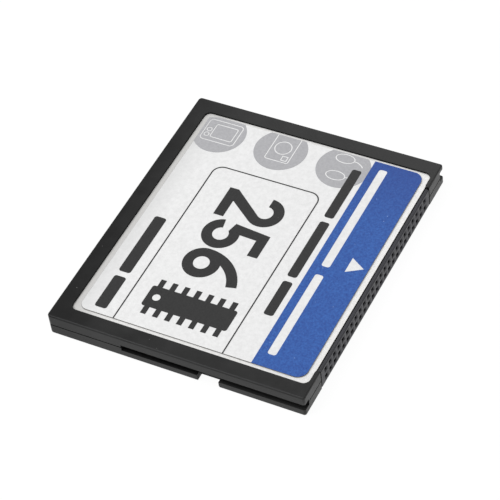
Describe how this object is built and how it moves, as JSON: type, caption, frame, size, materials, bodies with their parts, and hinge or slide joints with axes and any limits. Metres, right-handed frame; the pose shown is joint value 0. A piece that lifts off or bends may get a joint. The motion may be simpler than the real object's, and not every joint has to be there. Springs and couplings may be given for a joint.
{
  "type": "compact flash card",
  "caption": "Flat memory card: two-part plastic frame with keyed side grooves, thin metal panels, a two-row socket at one end and a printed label on top.",
  "frame": {"origin": "centre of the flat bottom face, on the surface the card lies on", "axes": "+X across the card, -Y out of the socket end, +Z out of the labelled face"},
  "size_m": [0.0428, 0.0364, 0.0033],
  "materials": {
    "frame_plastic": "satin moulded",
    "socket_plastic": "fine matte moulded",
    "panel_steel": "fine brushed",
    "contact_gold": "gold plated",
    "board_laminate": "glass laminate with green solder mask",
    "chip_resin": "moulded epoxy",
    "lead_tin": "tin plated",
    "capacitor_ceramic": "fired ceramic",
    "resistor_ceramic": "coated ceramic",
    "label_paper": "coated paper",
    "blue_ink": "printed",
    "dark_ink": "printed",
    "grey_ink": "printed"
  },
  "bodies": {
    "root": {"top_frame": "frame_plastic", "bottom_frame": "frame_plastic", "top_panel": "panel_steel", "bottom_panel": "panel_steel", "connector_housing": "socket_plastic", "upper_contacts": "contact_gold", "lower_contacts": "contact_gold", "circuit_board": "board_laminate", "flash_chip_top": "chip_resin", "flash_chip_top_leads": "lead_tin", "flash_chip_bottom_left": "chip_resin", "flash_chip_bottom_left_leads": "lead_tin", "flash_chip_bottom_right": "chip_resin", "flash_chip_bottom_right_leads": "lead_tin", "controller_chip": "chip_resin", "controller_leads": "lead_tin", "capacitors": "capacitor_ceramic", "resistor_packs": "resistor_ceramic", "resistors": "resistor_ceramic", "voltage_regulator": "chip_resin", "voltage_regulator_leads": "lead_tin", "front_label": "label_paper", "blue_band": "blue_ink", "capacity_outline": "dark_ink", "capacity_number": "dark_ink", "chip_symbol": "dark_ink", "print_bars": "dark_ink", "grey_discs": "grey_ink"}
  },
  "joints": []
}
